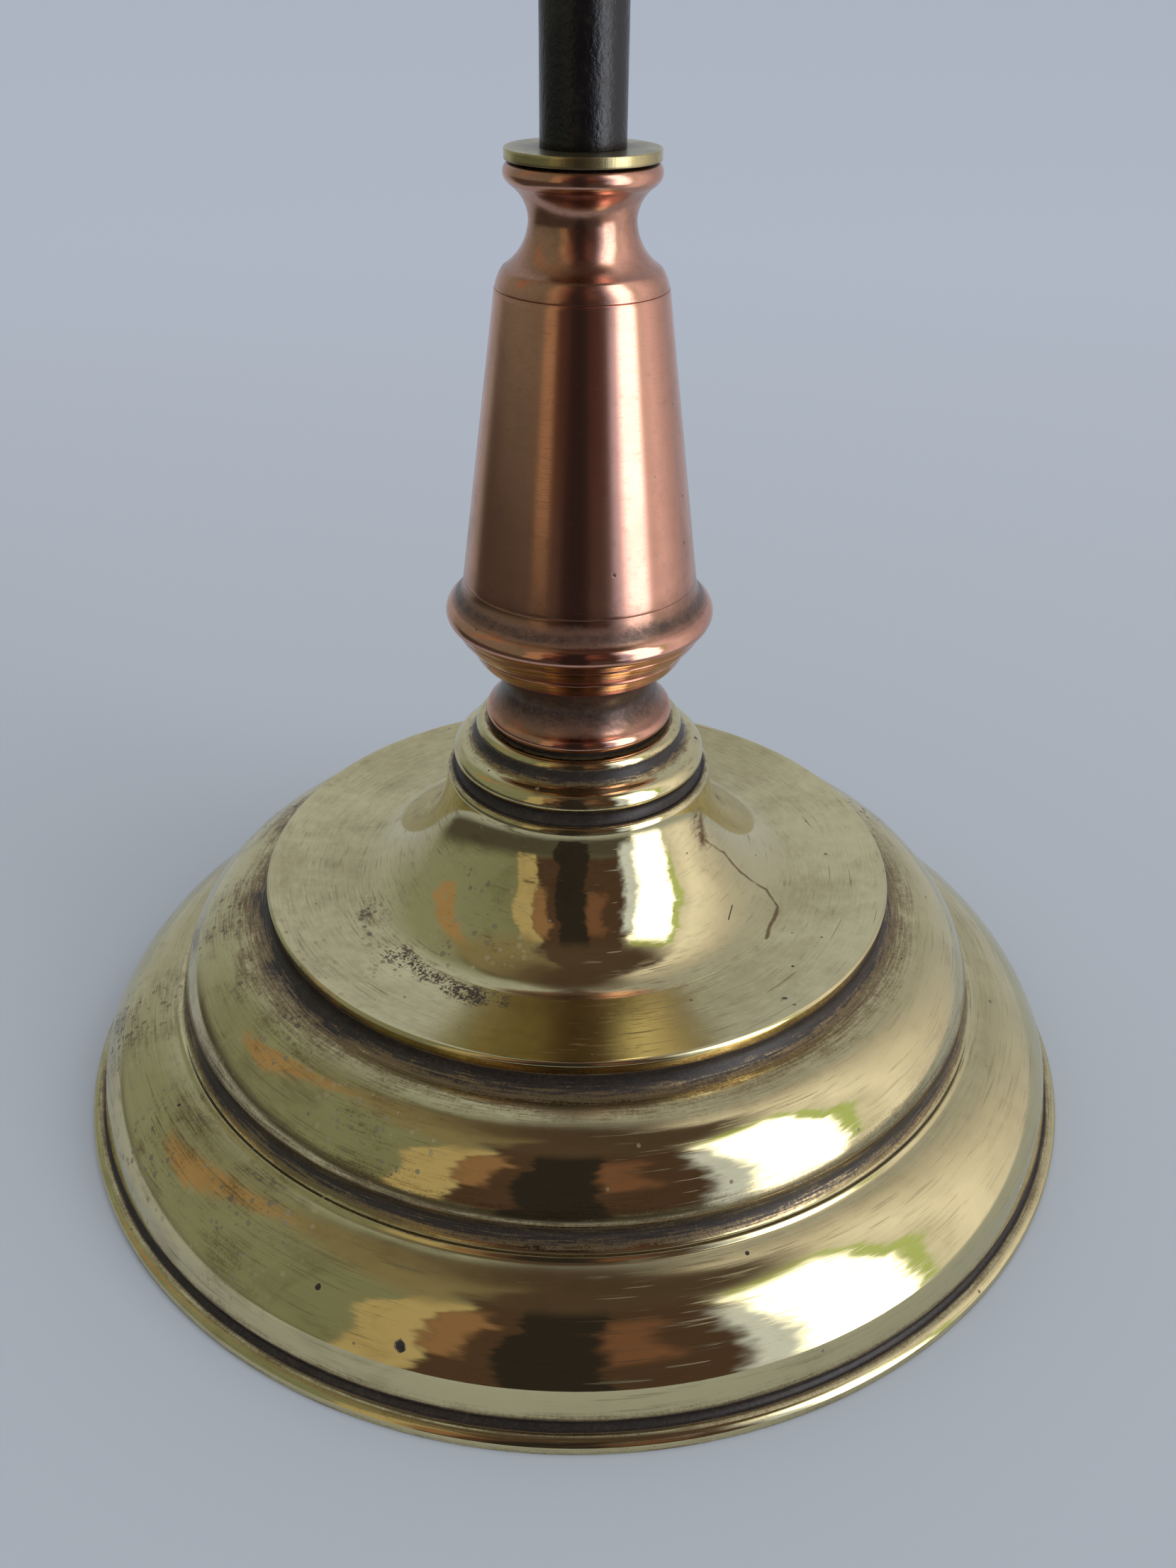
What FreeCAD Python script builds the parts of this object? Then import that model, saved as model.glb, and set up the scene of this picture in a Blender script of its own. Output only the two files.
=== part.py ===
import FreeCAD, Part
import math
import os

# Pedestal stand: stepped brass base, turned copper column and a black stem that turns on it.
# Every piece is turned about +Z, and the stand rests on z = 0. Sizes are in millimetres.
# Radii run outwards from the stem as far as the bell and inwards from the foot as far as the platter,
# whose dished floor takes up the rest. Heights are added up from the floor.

# Fits
running_clearance = 0.05        # tie rod in its bushes, on the radius
seat_clearance = 0.05           # spigots, bushes, plug, nuts and screws in their seats
rod_room = 0.5                  # tie rod through holes that don't guide it
cover_room = 0.2                # cover in its rebate
lift_gap = 0.4                  # ballast above the cover

# Stem
stem_radius = 6.35              # half-inch tube
tube_wall = 1.6
stem_length = 100.0             # above the washer
stem_chamfer = 0.4
plug_wall = 1.3
plug_length = 18.0
socket_step = 0.6               # tube reamed wider for the plug
socket_tail = 0.4               # reamed past the plug
rod_engagement = 15.0           # rod screwed into the plug
washer_thickness = 1.6
washer_inset = 0.28             # washer inside the edge of the flange
neck_packing_thickness = 0.4
neck_packing_inset = 2.0        # packing inside the edge of the washer

# Bushes
bush_wall = 2.1
bush_flange_overhang = 2.3
bush_flange_thickness = 1.5
bush_setback = 0.8              # end of the sleeve below the end of its bore

# Column cap
neck_wall = 1.92
flange_overhang = 3.73
flange_round = 0.65             # crown of the flange's edge
flange_height = 2.76
waist_height = 11.8             # shoulder band to flange
waist_position = 6.8            # narrowest place above the band
waist_flare = 3.95              # shoulder band outside the waist
lower_waist_bow = 0.95
upper_waist_bow = 0.75
band_height = 2.9
band_lean = 1.15
band_bow = 0.15
cap_spigot_inset = 1.87         # spigot inside the shoulder band
cap_spigot_length = 6.0

# Column cone
shoulder_step = 0.2             # top of the cone outside the shoulder band
cone_length = 46.6
cone_spread = 6.2
cone_stop = 0.8                 # ledge under the cap's spigot
cone_spigot_inset = 1.77
cone_spigot_length = 4.6
cone_spigot_wall = 1.5

# Column foot
torus_overhang = 2.58
torus_bow = 0.72
torus_height = 3.3
cavetto_height = 4.2            # hollow from the torus up to the cone
cavetto_run = 2.25
cavetto_bow = 0.5
bead_groove = 0.15              # step in under each bead
high_bead_height = 0.9
high_bead_bow = 0.12
high_bead_step = 0.65
mid_bead_height = 3.5
mid_bead_bow = 0.3
mid_bead_step = 2.65
low_bead_height = 2.8
low_bead_bow = 0.2
low_bead_step = 1.65
scotia_height = 9.4
scotia_bow = 3.0
foot_rim_height = 2.05
foot_rim_bow = 0.4
foot_rim_lean = 0.12
foot_rim_swell = 7.9            # foot rim outside the waist
foot_floor = 2.4
foot_wall = 2.2
foot_packing_thickness = 0.8
foot_packing_inset = 0.8

# Hub collar
top_bead_step = 0.5             # lower edge of the upper bead outside the foot's rim
top_bead_run = 1.4
top_bead_height = 1.2
top_bead_bow = 0.4
top_cove_run = 2.1
top_cove_height = 2.9
top_cove_bow = 0.7
main_bead_run = 2.0
main_bead_height = 2.7
main_bead_bow = 0.7
low_cove_height = 2.7
low_cove_bow = 0.8
lip_overhang = 1.36             # bell outside the collar's main bead
collar_spigot_wall = 7.8
collar_spigot_length = 2.4

# Bell
bell_wall = 2.5
bell_edge = 0.1                 # thin rim of the bell on the platter
bell_seat_width = 6.0
bell_spigot_wall = 2.5
bell_spigot_length = 2.0
hub_thickness = 3.0
lip_height = 0.7
lip_run = 0.56
lip_bow = 0.15
bell_run = 17.24
bell_height = 21.7
bell_bow = 4.2
bell_inner_bow = 2.7

# Brass base, from the platter down to the foot
base_radius = 95.0
casting_wall = 2.5
dish_depth = 1.7
dish_bow = 0.35
rim_round = 0.45
rim_round_bow = 0.12
rim_height = 2.3
rim_lean = 0.27
upper_cove_run = 2.7
upper_cove_height = 3.3
upper_cove_bow = 1.1
cushion_run = 14.1
cushion_height = 11.6
cushion_bow = 3.0
lower_cove_run = 1.3
lower_cove_height = 4.6
lower_cove_bow = 0.9
ridge_width = 1.2
ridge_drop = 0.4
ridge_bow = 0.45
ring_run = 14.3
ring_height = 11.3
ring_bow = 2.0
band_out = 1.0
foot_band_height = 5.3
foot_groove_run = 0.9
foot_groove_height = 1.8
foot_groove_bow = 0.9
flange_run = 1.7
flange_rise = 0.9
flange_bow = 0.25
foot_edge = 1.5

# Inside of the base
inside_step = 2.0               # inside radius at the band, inside the rebate
rebate_wall = 4.8
felt_thickness = 1.4
felt_inset = 0.6
cover_thickness = 1.6
ballast_room = 3.0              # ballast clear of the casting's walls
ballast_edge = 6.0
ballast_ring_width = 6.0
ballast_pocket_wall = 6.0
web_thickness = 6.0
boss_wall = 6.0
recess_wall = 12.0              # nut recess outside the rod

# Fastenings
thrust_overhang = 5.6
thrust_thickness = 1.6
spring_wall = 3.0
spring_thickness = 2.0
spring_slit = 1.2
spring_slant = 25.0             # degrees
nut_flats = 13.0
nut_height = 6.5
lock_nut_height = 4.0
nut_chamfer = 0.8
rod_tail = 2.0                  # rod below the lock nut
rod_end_room = 2.9              # rod above the cover
screw_count = 3
screw_radius = 2.0
screw_head_radius = 3.6
screw_length = 9.0
screw_hole_tail = 1.0

# Radii, from the stem outwards to the bell
bore_radius = stem_radius - tube_wall
plug_socket_radius = bore_radius + socket_step
plug_radius = plug_socket_radius - seat_clearance
rod_radius = plug_radius - plug_wall
thread_radius = rod_radius + seat_clearance
bush_bore = rod_radius + running_clearance
bush_radius = bush_bore + bush_wall
bush_seat = bush_radius + seat_clearance
bush_flange = bush_radius + bush_flange_overhang
waist_radius = bush_seat + neck_wall
flange_radius = waist_radius + flange_overhang
washer_radius = flange_radius - washer_inset
band_top_radius = waist_radius + waist_flare
band_radius = band_top_radius + band_lean
cap_spigot_radius = band_radius - cap_spigot_inset
cap_socket_radius = cap_spigot_radius + seat_clearance
cone_top_radius = band_radius + shoulder_step
cone_base_radius = cone_top_radius + cone_spread
cone_spigot_radius = cone_base_radius - cone_spigot_inset
cone_socket_radius = cone_spigot_radius + seat_clearance
torus_radius = cone_base_radius + torus_overhang
torus_top_radius = cone_base_radius + cavetto_run
high_bead_radius = torus_radius - bead_groove
mid_bead_radius = high_bead_radius - high_bead_step
low_bead_radius = mid_bead_radius - mid_bead_step
scotia_top_radius = low_bead_radius - low_bead_step
foot_rim_radius = waist_radius + foot_rim_swell
foot_bore = bush_flange + rod_room
top_bead_radius = foot_rim_radius + foot_rim_bow + top_bead_step + top_bead_run
collar_seat_radius = top_bead_radius - top_bead_run
main_bead_top_radius = top_bead_radius + top_cove_run
main_bead_radius = main_bead_top_radius + main_bead_run
collar_spigot_radius = bush_seat + collar_spigot_wall
collar_hole = collar_spigot_radius + seat_clearance
lip_radius = main_bead_radius + lip_overhang
crease_radius = lip_radius + bell_run
bell_spigot_radius = crease_radius - bell_seat_width
bell_hole = bell_spigot_radius + seat_clearance

# Radii, from the foot inwards to the platter
crest_radius = base_radius - flange_run
band_foot_radius = crest_radius - foot_groove_run
arris_radius = band_foot_radius - band_out
ridge_radius = arris_radius - ring_run
ridge_inner_radius = ridge_radius - ridge_width
cushion_radius = ridge_inner_radius - lower_cove_run
cushion_top_radius = cushion_radius - cushion_run
rim_base_radius = cushion_top_radius - upper_cove_run
rim_radius = rim_base_radius + rim_lean
rim_top_radius = rim_radius - rim_round
rebate_radius = base_radius - rebate_wall
inside_radius = rebate_radius - inside_step
cover_radius = rebate_radius - cover_room
ballast_radius = cushion_radius - casting_wall - ballast_room
ballast_ring_radius = rim_base_radius - casting_wall - ballast_room
rod_hole = rod_radius + rod_room
recess_radius = rod_radius + recess_wall
screw_circle = (recess_radius + ballast_radius) / 2
screw_hole_radius = screw_radius + seat_clearance

# Heights, from the floor upwards
cover_bottom = felt_thickness
cover_top = cover_bottom + cover_thickness
crest_z = foot_edge + flange_rise
band_foot_z = crest_z + foot_groove_height
arris_z = band_foot_z + foot_band_height
ridge_z = arris_z + ring_height
ridge_inner_z = ridge_z + ridge_drop
cushion_z = ridge_inner_z + lower_cove_height
cushion_top_z = cushion_z + cushion_height
rim_base_z = cushion_top_z + upper_cove_height
rim_z = rim_base_z + rim_height
platter_z = rim_z + rim_round
crease_z = platter_z - dish_depth
lip_z = crease_z + bell_edge + bell_height
collar_z = lip_z + lip_height
main_bead_z = collar_z + low_cove_height
main_bead_top_z = main_bead_z + main_bead_height
top_bead_z = main_bead_top_z + top_cove_height
collar_top_z = top_bead_z + top_bead_height
foot_z = collar_top_z + foot_packing_thickness
scotia_z = foot_z + foot_rim_height
low_bead_z = scotia_z + scotia_height
mid_bead_z = low_bead_z + low_bead_height
high_bead_z = mid_bead_z + mid_bead_height
torus_z = high_bead_z + high_bead_height
torus_top_z = torus_z + torus_height
cone_z = torus_top_z + cavetto_height
band_z = cone_z + cone_length
band_top_z = band_z + band_height
waist_z = band_top_z + waist_position
flange_z = band_top_z + waist_height
cap_top_z = flange_z + flange_height
washer_z = cap_top_z + neck_packing_thickness
stem_z = washer_z + washer_thickness
plug_top_z = stem_z + plug_length
rod_top_z = stem_z + rod_engagement
stem_top_z = stem_z + stem_length
ceiling_z = crease_z - casting_wall
rod_bottom_z = cover_top + rod_end_room
lock_nut_z = rod_bottom_z + rod_tail
nut_z = lock_nut_z + lock_nut_height
spring_z = nut_z + nut_height
thrust_z = spring_z + spring_thickness
web_z = thrust_z + thrust_thickness
web_top_z = web_z + web_thickness
ballast_z = cover_top + lift_gap
collar_bottom_z = collar_z - collar_spigot_length
cap_bottom_z = band_z - cap_spigot_length


# Point in the plane that is turned about Z
def point(radius, height):
    return FreeCAD.Vector(radius, 0, height)


# Solid turned from a closed outline of (radius, height) corners. A third value bows the stretch
# that ends at the corner into an arc, to the right of the way round if it is positive.
def turned(*outline):
    edges = []
    before = outline[-1]
    for corner in outline:
        start = point(before[0], before[1])
        end = point(corner[0], corner[1])
        if len(corner) == 3:
            along = end - start
            right = FreeCAD.Vector(along.z, 0, -along.x).normalize()
            edges.append(Part.Arc(start, (start + end) / 2 + right * corner[2], end).toShape())
        else:
            edges.append(Part.makeLine(start, end))
        before = corner
    section = Part.Face(Part.Wire(edges))
    return section.revolve(FreeCAD.Vector(), FreeCAD.Vector(0, 0, 1), 360)


# Flat ring or plain sleeve
def ring(inner, outer, bottom, top):
    return turned((inner, bottom), (outer, bottom), (outer, top), (inner, top))


# Sleeve with a flange under its lower end
def flanged_bush(seat_z, top):
    flange_bottom = seat_z - bush_flange_thickness
    return turned(
        (bush_bore, flange_bottom),
        (bush_flange, flange_bottom),
        (bush_flange, seat_z),
        (bush_radius, seat_z),
        (bush_radius, top),
        (bush_bore, top),
    )


# Hexagon nut with both ends chamfered
def hex_nut(bottom, height):
    half_flats = nut_flats / 2
    corner_radius = half_flats / math.cos(math.pi / 6)
    face_radius = corner_radius - nut_chamfer
    slope = nut_chamfer / math.sqrt(3)
    blank = turned(
        (thread_radius, bottom),
        (face_radius, bottom),
        (corner_radius, bottom + slope),
        (corner_radius, bottom + height - slope),
        (face_radius, bottom + height),
        (thread_radius, bottom + height),
    )
    corners = []
    for index in range(7):
        angle = index * math.pi / 3
        x = corner_radius * math.cos(angle)
        y = corner_radius * math.sin(angle)
        corners.append(FreeCAD.Vector(x, y, bottom))
    hexagon = Part.Face(Part.makePolygon(corners)).extrude(FreeCAD.Vector(0, 0, height))
    return blank.common(hexagon)


# Copies of a solid at the cover's screw places
def at_screws(solid):
    copies = []
    for index in range(screw_count):
        copy = solid.copy()
        copy.translate(FreeCAD.Vector(screw_circle, 0, 0))
        copy.rotate(FreeCAD.Vector(), FreeCAD.Vector(0, 0, 1), index * 360 / screw_count)
        copies.append(copy)
    return Part.makeCompound(copies)


# Stepped base: up the outside, across the platter to the bell's seat and down the inside
def make_base_shell():
    return turned(
        (base_radius, 0),
        (base_radius, foot_edge),
        (crest_radius, crest_z, flange_bow),
        (band_foot_radius, band_foot_z, -foot_groove_bow),
        (arris_radius, arris_z),
        (ridge_radius, ridge_z, ring_bow),
        (ridge_inner_radius, ridge_inner_z, ridge_bow),
        (cushion_radius, cushion_z, -lower_cove_bow),
        (cushion_top_radius, cushion_top_z, cushion_bow),
        (rim_base_radius, rim_base_z, -upper_cove_bow),
        (rim_radius, rim_z),
        (rim_top_radius, platter_z, rim_round_bow),
        (crease_radius, crease_z, -dish_bow),
        (bell_hole, crease_z),
        (bell_hole, ceiling_z),
        (rim_base_radius - casting_wall, ceiling_z),
        (cushion_top_radius - casting_wall, cushion_top_z - casting_wall),
        (cushion_radius - casting_wall, cushion_z - casting_wall, -cushion_bow),
        (ridge_radius - casting_wall, ridge_z - casting_wall),
        (inside_radius, arris_z - casting_wall / 2, -ring_bow),
        (inside_radius, cover_top),
        (rebate_radius, cover_top),
        (rebate_radius, 0),
    )


# Bell: flared like a trumpet, with a spigot into the platter and a seat for the collar
def make_base_bell():
    spigot_z = crease_z - bell_spigot_length
    hub_z = collar_z - hub_thickness
    return turned(
        (bell_spigot_radius - bell_spigot_wall, spigot_z),
        (bell_spigot_radius, spigot_z),
        (bell_spigot_radius, crease_z),
        (crease_radius, crease_z),
        (crease_radius, crease_z + bell_edge),
        (lip_radius, lip_z, -bell_bow),
        (lip_radius - lip_run, collar_z, lip_bow),
        (collar_hole, collar_z),
        (collar_hole, hub_z),
        (lip_radius - bell_wall, hub_z),
        (bell_spigot_radius - bell_spigot_wall, crease_z, bell_inner_bow),
    )


# Collar: two beads with coves under them, and a spigot into the bell
def make_hub_collar():
    return turned(
        (bush_seat, collar_bottom_z),
        (collar_spigot_radius, collar_bottom_z),
        (collar_spigot_radius, collar_z),
        (main_bead_radius, collar_z),
        (main_bead_radius, main_bead_z, -low_cove_bow),
        (main_bead_top_radius, main_bead_top_z, main_bead_bow),
        (top_bead_radius, top_bead_z, -top_cove_bow),
        (collar_seat_radius, collar_top_z, top_bead_bow),
        (bush_seat, collar_top_z),
    )


# Copper foot: rim, scotia, stacked beads, torus and cavetto outside, cup for the cone inside
def make_column_foot():
    cup_z = cone_z - cone_spigot_length - lift_gap
    narrow = foot_rim_radius - foot_rim_bow - scotia_bow
    return turned(
        (foot_bore, foot_z),
        (foot_rim_radius, foot_z),
        (foot_rim_radius - foot_rim_lean, scotia_z, foot_rim_bow),
        (scotia_top_radius, low_bead_z, -scotia_bow),
        (low_bead_radius, mid_bead_z, low_bead_bow),
        (low_bead_radius - bead_groove, mid_bead_z),
        (mid_bead_radius, high_bead_z, mid_bead_bow),
        (mid_bead_radius - bead_groove, high_bead_z),
        (high_bead_radius, torus_z, high_bead_bow),
        (torus_radius, torus_z),
        (torus_top_radius, torus_top_z, torus_bow),
        (cone_base_radius, cone_z, -cavetto_bow),
        (cone_socket_radius, cone_z),
        (cone_socket_radius, cup_z),
        (cone_socket_radius - foot_wall, cup_z),
        (cone_socket_radius - foot_wall, mid_bead_z),
        (narrow - foot_wall, scotia_z + scotia_height / 2),
        (narrow - foot_wall, foot_z + foot_floor),
        (foot_bore, foot_z + foot_floor),
    )


# Tapered copper body, with a spigot below and a socket above
def make_column_cone():
    spigot_z = cone_z - cone_spigot_length
    stop_z = cap_bottom_z - lift_gap
    return turned(
        (cone_spigot_radius - cone_spigot_wall, spigot_z),
        (cone_spigot_radius, spigot_z),
        (cone_spigot_radius, cone_z),
        (cone_base_radius, cone_z),
        (cone_top_radius, band_z),
        (cap_socket_radius, band_z),
        (cap_socket_radius, stop_z),
        (cap_socket_radius - cone_stop, stop_z),
    )


# Copper cap: shoulder band, waist and round-edged flange
def make_column_cap():
    return turned(
        (bush_seat, cap_bottom_z),
        (cap_spigot_radius, cap_bottom_z),
        (cap_spigot_radius, band_z),
        (band_radius, band_z),
        (band_top_radius, band_top_z, band_bow),
        (waist_radius, waist_z, -lower_waist_bow),
        (flange_radius - flange_round, flange_z, -upper_waist_bow),
        (flange_radius - flange_round, cap_top_z, flange_round),
        (bush_seat, cap_top_z),
    )


# Black tube, reamed for the plug below and chamfered above
def make_stem_tube():
    return turned(
        (plug_socket_radius, stem_z),
        (stem_radius, stem_z),
        (stem_radius, stem_top_z - stem_chamfer),
        (stem_radius - stem_chamfer, stem_top_z),
        (bore_radius, stem_top_z),
        (bore_radius, plug_top_z + socket_tail),
        (plug_socket_radius, plug_top_z + socket_tail),
    )


# Iron weight: heavy lower disc, ring that bears on the ceiling of the base, web with a boss
def make_ballast():
    ring_inside = ballast_ring_radius - ballast_ring_width
    boss_radius = rod_hole + boss_wall
    weight = turned(
        (recess_radius, ballast_z),
        (ballast_radius, ballast_z),
        (ballast_radius, ballast_z + ballast_edge),
        (ballast_ring_radius, web_z),
        (ballast_ring_radius, ceiling_z),
        (ring_inside, ceiling_z),
        (ring_inside, web_z + ballast_pocket_wall),
        (boss_radius, web_top_z),
        (rod_hole, web_top_z),
        (rod_hole, web_z),
        (recess_radius, web_z),
    )
    hole_depth = screw_length + screw_hole_tail
    tapped = Part.makeCylinder(screw_hole_radius, hole_depth, FreeCAD.Vector(0, 0, ballast_z))
    return weight.cut(at_screws(tapped))


# Sheet cover with countersunk holes
def make_base_cover():
    sheet = Part.makeCylinder(cover_radius, cover_thickness, FreeCAD.Vector(0, 0, cover_bottom))
    sink = Part.makeCone(
        screw_head_radius + seat_clearance,
        screw_hole_radius,
        cover_thickness,
        FreeCAD.Vector(0, 0, cover_bottom),
    )
    return sheet.cut(at_screws(sink))


# Countersunk screws, heads flush with the cover
def make_cover_screws():
    tip_z = ballast_z + screw_length
    screw = turned(
        (0, cover_bottom),
        (screw_head_radius, cover_bottom),
        (screw_radius, cover_top),
        (screw_radius, tip_z),
        (0, tip_z),
    )
    return at_screws(screw)


# Split ring, cut through on a slant
def make_spring_washer():
    outer = thread_radius + spring_wall
    whole = ring(thread_radius, outer, spring_z, thrust_z)
    slit = Part.makeBox(outer * 2, spring_slit, spring_thickness * 4)
    slit.translate(FreeCAD.Vector(0, -spring_slit / 2, spring_z - spring_thickness * 1.5))
    middle = FreeCAD.Vector(0, 0, spring_z + spring_thickness / 2)
    slit.rotate(middle, FreeCAD.Vector(1, 0, 0), spring_slant)
    return whole.cut(slit)


shapes = {
    "base_shell": make_base_shell(),
    "base_bell": make_base_bell(),
    "hub_collar": make_hub_collar(),
    "foot_packing": ring(foot_bore, foot_rim_radius - foot_packing_inset, collar_top_z, foot_z),
    "column_foot": make_column_foot(),
    "column_cone": make_column_cone(),
    "column_cap": make_column_cap(),
    "neck_packing": ring(rod_hole, washer_radius - neck_packing_inset, cap_top_z, washer_z),
    "upper_bush": flanged_bush(cap_bottom_z, cap_top_z - bush_setback),
    "lower_bush": flanged_bush(collar_bottom_z, collar_top_z - bush_setback),
    "ballast": make_ballast(),
    "thrust_washer": ring(rod_hole, rod_hole + thrust_overhang, thrust_z, web_z),
    "base_cover": make_base_cover(),
    "cover_screws": make_cover_screws(),
    "felt_pad": Part.makeCylinder(rebate_radius - felt_inset, felt_thickness),
    "stem_tube": make_stem_tube(),
    "stem_washer": ring(thread_radius, washer_radius, washer_z, stem_z),
    "stem_plug": ring(thread_radius, plug_radius, stem_z, plug_top_z),
    "tie_rod": Part.makeCylinder(rod_radius, rod_top_z - rod_bottom_z, FreeCAD.Vector(0, 0, rod_bottom_z)),
    "spring_washer": make_spring_washer(),
    "tie_nut": hex_nut(nut_z, nut_height),
    "lock_nut": hex_nut(lock_nut_z, lock_nut_height),
}

os.makedirs("parts", exist_ok=True)
for name, shape in shapes.items():
    shape.exportStep("parts/" + name + ".step")
    print(name, "valid" if shape.isValid() else "not valid", round(shape.Volume, 1))
print("crease", round(crease_radius, 2), "rim", round(rim_top_radius, 2), "stem top", round(stem_top_z, 2))
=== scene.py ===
import bpy
import bmesh
import math
import numpy as np
from mathutils import Matrix, Vector


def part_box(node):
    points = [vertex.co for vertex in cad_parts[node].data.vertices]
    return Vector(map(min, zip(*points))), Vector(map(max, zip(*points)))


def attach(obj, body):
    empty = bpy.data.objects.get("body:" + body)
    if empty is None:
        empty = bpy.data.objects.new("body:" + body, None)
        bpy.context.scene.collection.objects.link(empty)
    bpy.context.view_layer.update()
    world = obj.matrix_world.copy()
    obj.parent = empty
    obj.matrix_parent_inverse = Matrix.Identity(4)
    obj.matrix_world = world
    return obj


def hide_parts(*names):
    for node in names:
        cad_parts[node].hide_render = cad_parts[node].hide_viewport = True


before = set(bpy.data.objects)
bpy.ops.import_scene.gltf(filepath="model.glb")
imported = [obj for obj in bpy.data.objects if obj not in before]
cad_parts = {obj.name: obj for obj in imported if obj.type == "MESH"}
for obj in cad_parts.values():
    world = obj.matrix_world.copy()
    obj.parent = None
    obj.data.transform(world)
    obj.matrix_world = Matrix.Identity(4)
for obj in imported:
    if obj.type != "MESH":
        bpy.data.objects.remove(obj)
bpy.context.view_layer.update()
mm = 0.001  # outlines and marks are written in millimetres, as the CAD is
print("frame loaded:", len(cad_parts), "nodes")


# Node helpers: wire() links or fills the inputs of a node, and put() makes a node and sets it up

def wire(tree, node, inputs):
    for key, value in inputs.items():
        if isinstance(value, bpy.types.NodeSocket):
            tree.links.new(value, node.inputs[key])
        else:
            node.inputs[key].default_value = value


def put(tree, kind, inputs=None, **settings):
    node = tree.nodes.new(kind)
    for key, value in settings.items():
        setattr(node, key, value)
    wire(tree, node, inputs or {})
    return node


def calc(tree, operation, first, second):
    return put(tree, "ShaderNodeMath", {0: first, 1: second}, operation=operation).outputs[0]


def chain(tree, operation, values):
    total = values[0]
    for value in values[1:]:
        total = calc(tree, operation, total, value)
    return total


def plus(tree, *values):
    return chain(tree, "ADD", values)


def times(tree, *values):
    return chain(tree, "MULTIPLY", values)


def most(tree, *values):
    return chain(tree, "MAXIMUM", values)


# Sum of (value, weight) pairs
def weighted(tree, *pairs):
    return plus(tree, *[times(tree, value, weight) for value, weight in pairs])


def capped(tree, value):
    return put(tree, "ShaderNodeClamp", {0: value}).outputs[0]


def vary(tree, operation, first, second=(0, 0, 0)):
    return put(tree, "ShaderNodeVectorMath", {0: first, 1: second}, operation=operation)


def axes(tree, vector):
    return put(tree, "ShaderNodeSeparateXYZ", {0: vector}).outputs


# Turn about the upright axis, nought at the front
def turnOf(tree, x, y):
    return calc(tree, "ARCTAN2", x, times(tree, y, -1.0))


def blendColour(tree, share, first, second):
    return put(tree, "ShaderNodeMix", {0: share, 6: first, 7: second}, data_type="RGBA").outputs[2]


def blendValue(tree, share, first, second):
    return put(tree, "ShaderNodeMix", {0: share, 2: first, 3: second}, data_type="FLOAT").outputs[0]


def step(tree, value, low, high, bottom=0.0, top=1.0):
    inputs = {0: value, 1: low, 2: high, 3: bottom, 4: top}
    return put(tree, "ShaderNodeMapRange", inputs, interpolation_type="SMOOTHSTEP").outputs[0]


def within(tree, value, reach, blur):
    low, high = reach
    risen = step(tree, value, low - blur, low + blur)
    return times(tree, risen, step(tree, value, high + blur, high - blur))


def noise(tree, vector, scale, detail=2.0, roughness=0.5, twist=0.0):
    inputs = {"Vector": vector, "Scale": scale, "Detail": detail, "Roughness": roughness, "Distortion": twist}
    return put(tree, "ShaderNodeTexNoise", inputs).outputs[0]


def stretched(tree, vector, turn, scale):
    return put(tree, "ShaderNodeMapping", {0: vector, 2: turn, 3: scale}).outputs[0]


# Place pushed about by noise, so that marks laid on it have ragged edges
def ragged(tree, place, scale, reach):
    inputs = {"Vector": place, "Scale": scale, "Detail": 3.0, "Roughness": 0.65}
    push = put(tree, "ShaderNodeTexNoise", inputs).outputs[1]
    push = vary(tree, "SUBTRACT", push, (0.5, 0.5, 0.5)).outputs[0]
    push = vary(tree, "MULTIPLY", push, (reach * mm, reach * mm, reach * mm)).outputs[0]
    return vary(tree, "ADD", place, push).outputs[0]


# Surface normal of a relief, its depth in millimetres
def bumped(tree, relief, strength, depth):
    inputs = {"Height": relief, "Strength": strength, "Distance": depth * mm}
    return put(tree, "ShaderNodeBump", inputs).outputs[0]


def newMaterial(name):
    material = bpy.data.materials.new(name)
    material.use_nodes = True
    tree = material.node_tree
    tree.nodes.clear()
    shader = put(tree, "ShaderNodeBsdfPrincipled")
    put(tree, "ShaderNodeOutputMaterial", {0: shader.outputs[0]})
    return material, tree, shader


def objectPlace(tree):
    return put(tree, "ShaderNodeTexCoord").outputs["Object"]


def mark(tree, name):
    return put(tree, "ShaderNodeAttribute", attribute_name=name).outputs["Fac"]


# Vector that runs round a turned piece and along its outline, for marks left by the lathe and the polisher
def latheWay(tree, place, pitch):
    way = vary(tree, "NORMALIZE", vary(tree, "MULTIPLY", place, (1, 1, 0)).outputs[0]).outputs[0]
    x, y = axes(tree, way)[:2]
    along = times(tree, mark(tree, "along"), pitch)
    return put(tree, "ShaderNodeCombineXYZ", {0: x, 1: y, 2: along}).outputs[0]


# Surface of a turned piece laid flat, with the seam at the back
def unrolled(tree, place, radius):
    x, y = axes(tree, place)[:2]
    around = times(tree, turnOf(tree, x, y), radius * mm)
    return put(tree, "ShaderNodeCombineXYZ", {0: around, 1: mark(tree, "along")}).outputs[0]


# Thin straight marks on a flat lay: stretched noise cut to its crests
def hairlines(tree, flat, turns, across, length, low, high):
    lines = []
    for turn in turns:
        lay = stretched(tree, flat, (0, 0, turn), (length, across, 1))
        lines.append(step(tree, noise(tree, lay, 1.0, 2.0, 0.6), low, high))
    return most(tree, *lines)


# Small round marks scattered over the surface, a share of the cells holding one each
def scattered(tree, place, scale, size, share):
    cell = put(tree, "ShaderNodeTexVoronoi", {"Vector": place, "Scale": scale})
    chance = put(tree, "ShaderNodeSeparateColor", {0: cell.outputs["Color"]})
    dot = times(tree, chance.outputs[1], size)
    inside = calc(tree, "LESS_THAN", cell.outputs["Distance"], dot)
    return times(tree, inside, calc(tree, "LESS_THAN", chance.outputs[0], share))


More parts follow.
